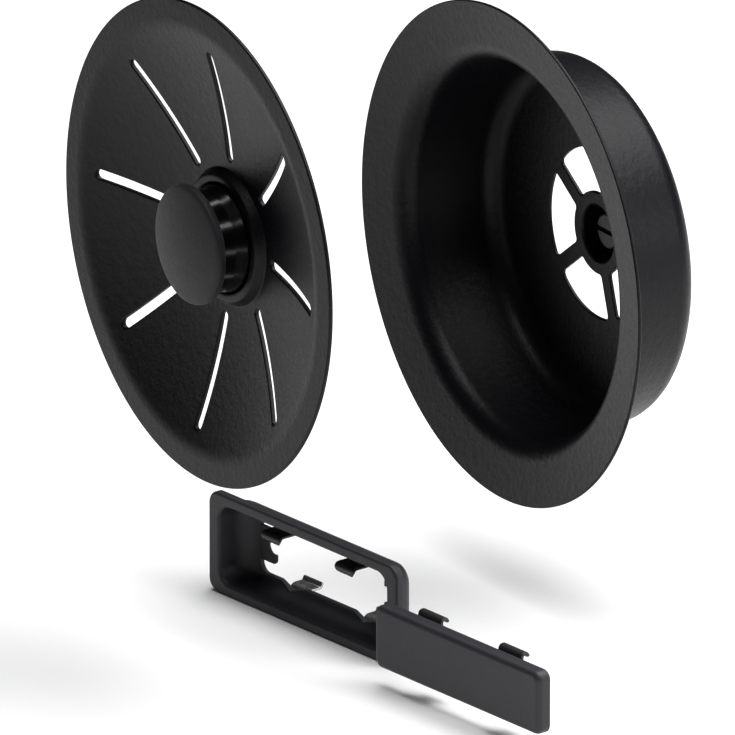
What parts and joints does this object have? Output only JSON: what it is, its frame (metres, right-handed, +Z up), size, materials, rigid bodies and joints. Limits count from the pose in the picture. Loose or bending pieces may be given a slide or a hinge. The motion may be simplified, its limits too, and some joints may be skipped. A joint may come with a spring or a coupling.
{
  "type": "sink waste and overflow trim set",
  "caption": "Black sink waste trim laid out in parts: slotted strainer with knob, flanged waste cup, overflow frame and its clip-on cover.",
  "frame": {"origin": "centre of the waste cup's rim, on the cup's axis, at the front of its flange", "axes": "+Y along the cup's axis into the drain; all fronts face -Y; +Z up as the pieces stand"},
  "size_m": [0.1473, 0.126, 0.151],
  "materials": {
    "coated_steel": "satin black powder coat with a fine texture",
    "coated_trim": "matt charcoal coat with a fine texture",
    "soft_touch_plastic": "soft matt charcoal",
    "gloss_plastic": "polished black",
    "moulded_plastic": "moulded black",
    "seal_rubber": "matt black",
    "bright_steel": "bright rolled",
    "blackened_steel": "satin black oxide",
    "black_spring_steel": "satin black"
  },
  "bodies": {
    "waste_cup": {"waste_cup": "coated_steel", "flange_gasket": "seal_rubber", "centre_screw": "blackened_steel", "screw_washer": "seal_rubber"},
    "strainer": {"strainer_disc": "coated_steel", "knob_cap": "soft_touch_plastic", "knob_body": "gloss_plastic", "retaining_collar": "moulded_plastic", "stopper_seal": "seal_rubber", "snap_ring": "bright_steel", "stem": "bright_steel", "stem_tip": "moulded_plastic"},
    "overflow_frame": {"overflow_frame": "coated_trim", "frame_gasket": "seal_rubber", "top_clip_left": "black_spring_steel", "top_clip_right": "black_spring_steel", "bottom_spring_left": "bright_steel", "bottom_spring_right": "bright_steel"},
    "overflow_cover": {"cover_plate": "coated_trim", "cover_clip_left": "black_spring_steel", "cover_clip_right": "black_spring_steel", "clip_rivet_left": "bright_steel", "clip_rivet_right": "bright_steel"}
  },
  "joints": [
    {"name": "strainer_insert", "type": "slide", "parent": "waste_cup", "child": "strainer", "axis": [0, 0.9752, -0.2213], "range_m": [0, 0.07907]},
    {"name": "frame_align", "type": "slide", "parent": "waste_cup", "child": "overflow_frame", "axis": [0.9925, 0.1219, 0], "range_m": [0, 0.0654]},
    {"name": "cover_push_on", "type": "slide", "parent": "waste_cup", "child": "overflow_cover", "axis": [-0.1219, 0.9925, 0], "range_m": [0, 0.0062]}
  ]
}
